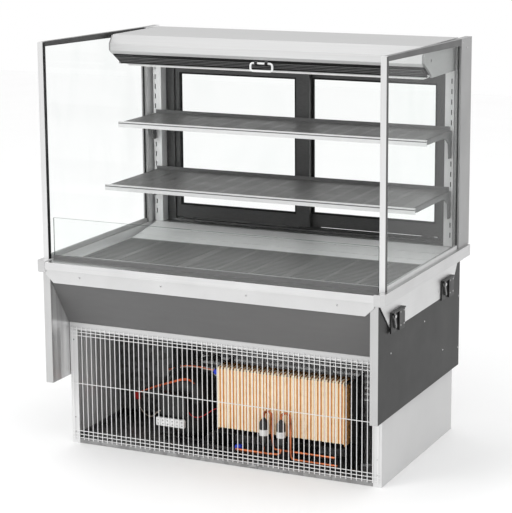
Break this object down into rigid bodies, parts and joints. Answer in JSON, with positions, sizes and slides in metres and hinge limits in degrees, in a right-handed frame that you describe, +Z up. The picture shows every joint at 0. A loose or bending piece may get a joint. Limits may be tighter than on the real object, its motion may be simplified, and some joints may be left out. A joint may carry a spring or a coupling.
{
  "type": "drop-in refrigerated display case",
  "caption": "Drop-in open-front refrigerated display case with shelves, pull-down night curtain, sliding rear glass doors and a condensing unit behind a wire guard.",
  "frame": {"origin": "floor level under the middle of the whole case, 11 mm behind the middle of the rim", "axes": "+X the customer's right, -Y the customer's side (open front), +Y the staff's side (sliding doors), +Z up"},
  "size_m": [1.219, 0.828, 1.362],
  "materials": {
    "white_paint": "satin",
    "charcoal_paint": "satin",
    "grey_paint": "satin",
    "black_paint": "semi gloss",
    "stainless": "brushed",
    "galvanised": "spangled",
    "anodised": "satin",
    "curtain_black": "black anodised",
    "clear_glass": "clear",
    "black_plastic": "moulded",
    "white_plastic": "moulded",
    "foam": "expanded foam",
    "copper": "drawn tube",
    "shelf_grey": "satin",
    "curtain_cloth": "woven",
    "lever_steel": "satin"
  },
  "bodies": {
    "cabinet": {"base_pan": "galvanised", "base_sides": "white_paint", "base_header": "white_paint", "base_rear_panel": "white_paint", "front_grille": "white_paint", "side_panels": "charcoal_paint", "leg_channels": "stainless", "well_skins": "grey_paint", "well_foam": "foam", "well_liner": "stainless", "drain_fitting": "white_plastic", "deck": "shelf_grey", "intake_grille": "galvanised", "duct_panel": "stainless", "evaporator_coil": "anodised", "evaporator_fan_mounts": "galvanised", "rim_sides": "stainless", "rim_ends": "stainless", "aprons": "stainless", "clamp_housings": "black_plastic", "columns": "stainless", "pilasters": "stainless", "door_frame": "curtain_black", "canopy_shell": "white_paint", "canopy_ends": "grey_paint", "curtain_housing": "black_paint", "canopy_lamp": "white_plastic", "front_posts": "stainless", "top_rails": "anodised", "side_glass": "clear_glass", "front_glass": "clear_glass", "glass_channels": "anodised", "shelf_pans": "shelf_grey", "shelf_strips": "white_paint", "shelf_brackets": "shelf_grey", "compressor": "black_paint", "terminal_block": "white_plastic", "condenser_coil": "copper", "condenser_shroud": "black_paint", "condenser_motor": "black_paint", "filter_driers": "black_paint", "copper_pipes": "copper", "control_box": "galvanised", "cord_gland": "black_plastic", "panel_screws": "stainless"},
    "curtain_pull": {"curtain_bar": "curtain_black"},
    "curtain_ring": {"curtain_handle": "white_plastic"},
    "curtain_spindle": {"curtain_roller": "anodised", "curtain_roll": "curtain_cloth"},
    "door_left": {"door_frame_left": "curtain_black", "door_glass_left": "clear_glass"},
    "door_right": {"door_frame_right": "curtain_black", "door_glass_right": "clear_glass"},
    "condenser_rotor": {"condenser_fan": "black_plastic"},
    "evaporator_rotor_left": {"evaporator_fan_left": "black_plastic"},
    "evaporator_rotor_right": {"evaporator_fan_right": "black_plastic"},
    "lever_left_front": {"clamp_lever_left_front": "lever_steel"},
    "lever_left_rear": {"clamp_lever_left_rear": "lever_steel"},
    "lever_right_front": {"clamp_lever_right_front": "lever_steel"},
    "lever_right_rear": {"clamp_lever_right_rear": "lever_steel"}
  },
  "joints": [
    {"name": "curtain_slide", "type": "slide", "parent": "cabinet", "child": "curtain_pull", "axis": [0, -0.6355, -0.7721], "range_m": [0, 0.585], "stiffness_N_per_m": 40, "springref_m": -0.5},
    {"name": "curtain_roller_turn", "type": "hinge", "parent": "cabinet", "child": "curtain_spindle", "pos_m": [0, 0.088, 1.302], "axis": [1, 0, 0], "range_deg": [0, 1500]},
    {"name": "handle_swing", "type": "hinge", "parent": "curtain_pull", "child": "curtain_ring", "pos_m": [0, 0.03507, 1.27513], "axis": [1, 0, 0], "range_deg": [-90, 50]},
    {"name": "door_left_slide", "type": "slide", "parent": "cabinet", "child": "door_left", "axis": [1, 0, 0], "range_m": [0, 0.475]},
    {"name": "door_right_slide", "type": "slide", "parent": "cabinet", "child": "door_right", "axis": [-1, 0, 0], "range_m": [0, 0.475]},
    {"name": "condenser_fan_spin", "type": "hinge", "parent": "cabinet", "child": "condenser_rotor", "pos_m": [0.178, -0.144, 0.195], "axis": [0, 1, 0], "continuous": true},
    {"name": "evaporator_fan_left_spin", "type": "hinge", "parent": "cabinet", "child": "evaporator_rotor_left", "pos_m": [-0.235, 0.121, 0.515], "axis": [0, 1, 0], "continuous": true},
    {"name": "evaporator_fan_right_spin", "type": "hinge", "parent": "cabinet", "child": "evaporator_rotor_right", "pos_m": [0.235, 0.121, 0.515], "axis": [0, 1, 0], "continuous": true},
    {"name": "clamp_left_front_swing", "type": "hinge", "parent": "cabinet", "child": "lever_left_front", "pos_m": [-0.6, -0.302, 0.56], "axis": [1, 0, 0], "range_deg": [-90, 32]},
    {"name": "clamp_left_rear_swing", "type": "hinge", "parent": "cabinet", "child": "lever_left_rear", "pos_m": [-0.6, 0.16, 0.56], "axis": [1, 0, 0], "range_deg": [-90, 32]},
    {"name": "clamp_right_front_swing", "type": "hinge", "parent": "cabinet", "child": "lever_right_front", "pos_m": [0.6, -0.302, 0.56], "axis": [1, 0, 0], "range_deg": [-90, 32]},
    {"name": "clamp_right_rear_swing", "type": "hinge", "parent": "cabinet", "child": "lever_right_rear", "pos_m": [0.6, 0.16, 0.56], "axis": [1, 0, 0], "range_deg": [-90, 32]}
  ],
  "couplings": [
    {"joint": "curtain_roller_turn", "follows": "curtain_slide", "rad_per_m": 43.48}
  ]
}
